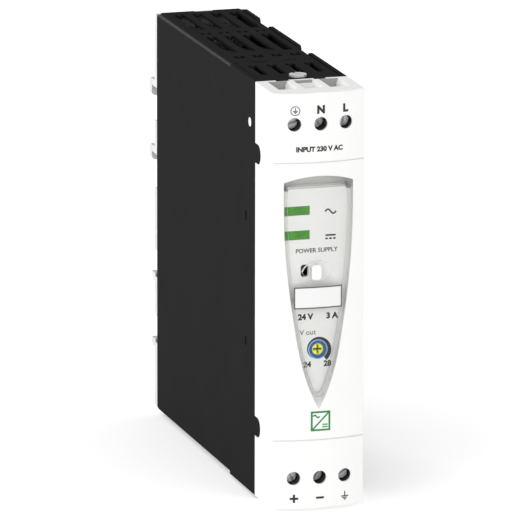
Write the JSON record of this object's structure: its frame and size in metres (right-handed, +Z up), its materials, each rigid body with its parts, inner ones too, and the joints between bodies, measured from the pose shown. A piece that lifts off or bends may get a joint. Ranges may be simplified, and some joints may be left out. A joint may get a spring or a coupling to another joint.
{
  "type": "din rail power supply",
  "caption": "Slim black-cased rail-mount power supply with white bowed front, clear hinged flap, trimmer, status windows and screw terminals at top and bottom.",
  "frame": {"origin": "on the rail's centre line, in the plane where the rail's front face meets the rear plate, mid-width", "axes": "+Z up, -Y to the front, +X to the right of a person facing the front"},
  "size_m": [0.027, 0.1277, 0.1212],
  "materials": {
    "black_paint": "fine matt powder coat",
    "aluminium": "plain extruded",
    "spring_steel": "bare",
    "white_plastic": "fine satin moulding",
    "clear_plastic": "clear polycarbonate",
    "marker_white": "smooth",
    "green_clear": "tinted light guide",
    "led_white": "moulded",
    "board_green": "solder mask",
    "trimmer_blue": "moulded",
    "trimmer_yellow": "moulded",
    "terminal_grey": "moulded",
    "tinned_copper": "tinned",
    "dark_plastic": "moulded",
    "insulation": "film",
    "ferrite": "sintered",
    "winding_tape": "polyester tape",
    "capacitor_sleeve": "shrink sleeve",
    "copper_wire": "enamelled",
    "capacitor_yellow": "moulded box",
    "fuse_ceramic": "ceramic tube",
    "screw_steel": "zinc plated",
    "plated_steel": "zinc plated"
  },
  "bodies": {
    "housing": {"case_body": "black_paint", "side_cover": "black_paint", "rear_plate": "aluminium", "front_cover": "white_plastic", "light_guides": "green_clear", "leds": "led_white", "display_board": "board_green", "trimmer_body": "trimmer_blue", "input_terminal_block": "terminal_grey", "output_terminal_block": "terminal_grey", "input_contact_bars": "tinned_copper", "output_contact_bars": "tinned_copper", "main_board": "board_green", "board_header": "dark_plastic", "insulation_sheet": "insulation", "transformer_core": "ferrite", "transformer_winding": "winding_tape", "input_capacitor": "capacitor_sleeve", "output_capacitors": "capacitor_sleeve", "bridge_rectifier": "dark_plastic", "line_choke": "copper_wire", "output_choke": "copper_wire", "line_capacitor": "capacitor_yellow", "fuse": "fuse_ceramic", "primary_heat_sink": "aluminium", "secondary_heat_sink": "aluminium", "power_transistor": "dark_plastic", "output_diode": "dark_plastic", "control_chip": "dark_plastic", "optocoupler": "dark_plastic", "case_screws": "screw_steel"},
    "rail_spring_35mm": {"rail_spring_35mm": "spring_steel"},
    "rail_spring_75mm": {"rail_spring_75mm": "spring_steel"},
    "flap": {"window_flap": "clear_plastic", "marker_label": "marker_white"},
    "trimmer": {"trimmer_rotor": "trimmer_yellow"},
    "input_screw_1": {"input_screw_1": "screw_steel"},
    "input_cage_1": {"input_cage_1": "plated_steel"},
    "input_screw_2": {"input_screw_2": "screw_steel"},
    "input_cage_2": {"input_cage_2": "plated_steel"},
    "input_screw_3": {"input_screw_3": "screw_steel"},
    "input_cage_3": {"input_cage_3": "plated_steel"},
    "output_screw_1": {"output_screw_1": "screw_steel"},
    "output_cage_1": {"output_cage_1": "plated_steel"},
    "output_screw_2": {"output_screw_2": "screw_steel"},
    "output_cage_2": {"output_cage_2": "plated_steel"},
    "output_screw_3": {"output_screw_3": "screw_steel"},
    "output_cage_3": {"output_cage_3": "plated_steel"}
  },
  "joints": [
    {"name": "flap_hinge", "type": "hinge", "parent": "housing", "child": "flap", "pos_m": [-0.0003, -0.11735, 0.0348], "axis": [-1, 0, 0], "range_deg": [0, 90]},
    {"name": "trimmer_turn", "type": "hinge", "parent": "housing", "child": "trimmer", "pos_m": [0.0001, -0.115, -0.0124], "axis": [0, 1, 0], "range_deg": [0, 270]},
    {"name": "rail_spring_35mm_flex", "type": "hinge", "parent": "housing", "child": "rail_spring_35mm", "pos_m": [-0.0105, 0.0027, 0.01895], "axis": [0, -1, 0], "range_deg": [0, 5], "stiffness_Nm_per_rad": 1.5},
    {"name": "rail_spring_75mm_flex", "type": "hinge", "parent": "housing", "child": "rail_spring_75mm", "pos_m": [-0.0105, 0.0027, 0.03895], "axis": [0, -1, 0], "range_deg": [0, 5], "stiffness_Nm_per_rad": 1.5},
    {"name": "input_screw_1_turn", "type": "hinge", "parent": "housing", "child": "input_screw_1", "pos_m": [-0.0075, -0.1155, 0.053], "axis": [0, 1, 0], "range_deg": [0, 1512]},
    {"name": "input_cage_1_slide", "type": "slide", "parent": "housing", "child": "input_cage_1", "axis": [0, -1, 0], "range_m": [0, 0.0021]},
    {"name": "input_screw_2_turn", "type": "hinge", "parent": "housing", "child": "input_screw_2", "pos_m": [0, -0.1155, 0.053], "axis": [0, 1, 0], "range_deg": [0, 1512]},
    {"name": "input_cage_2_slide", "type": "slide", "parent": "housing", "child": "input_cage_2", "axis": [0, -1, 0], "range_m": [0, 0.0021]},
    {"name": "input_screw_3_turn", "type": "hinge", "parent": "housing", "child": "input_screw_3", "pos_m": [0.0075, -0.1155, 0.053], "axis": [0, 1, 0], "range_deg": [0, 1512]},
    {"name": "input_cage_3_slide", "type": "slide", "parent": "housing", "child": "input_cage_3", "axis": [0, -1, 0], "range_m": [0, 0.0021]},
    {"name": "output_screw_1_turn", "type": "hinge", "parent": "housing", "child": "output_screw_1", "pos_m": [-0.0075, -0.1155, -0.049], "axis": [0, 1, 0], "range_deg": [0, 1512]},
    {"name": "output_cage_1_slide", "type": "slide", "parent": "housing", "child": "output_cage_1", "axis": [0, -1, 0], "range_m": [0, 0.0021]},
    {"name": "output_screw_2_turn", "type": "hinge", "parent": "housing", "child": "output_screw_2", "pos_m": [0, -0.1155, -0.049], "axis": [0, 1, 0], "range_deg": [0, 1512]},
    {"name": "output_cage_2_slide", "type": "slide", "parent": "housing", "child": "output_cage_2", "axis": [0, -1, 0], "range_m": [0, 0.0021]},
    {"name": "output_screw_3_turn", "type": "hinge", "parent": "housing", "child": "output_screw_3", "pos_m": [0.0075, -0.1155, -0.049], "axis": [0, 1, 0], "range_deg": [0, 1512]},
    {"name": "output_cage_3_slide", "type": "slide", "parent": "housing", "child": "output_cage_3", "axis": [0, -1, 0], "range_m": [0, 0.0021]}
  ],
  "couplings": [
    {"joint": "input_screw_1_turn", "follows": "input_cage_1_slide", "rad_per_m": 12566},
    {"joint": "input_screw_2_turn", "follows": "input_cage_2_slide", "rad_per_m": 12566},
    {"joint": "input_screw_3_turn", "follows": "input_cage_3_slide", "rad_per_m": 12566},
    {"joint": "output_screw_1_turn", "follows": "output_cage_1_slide", "rad_per_m": 12566},
    {"joint": "output_screw_2_turn", "follows": "output_cage_2_slide", "rad_per_m": 12566},
    {"joint": "output_screw_3_turn", "follows": "output_cage_3_slide", "rad_per_m": 12566}
  ]
}
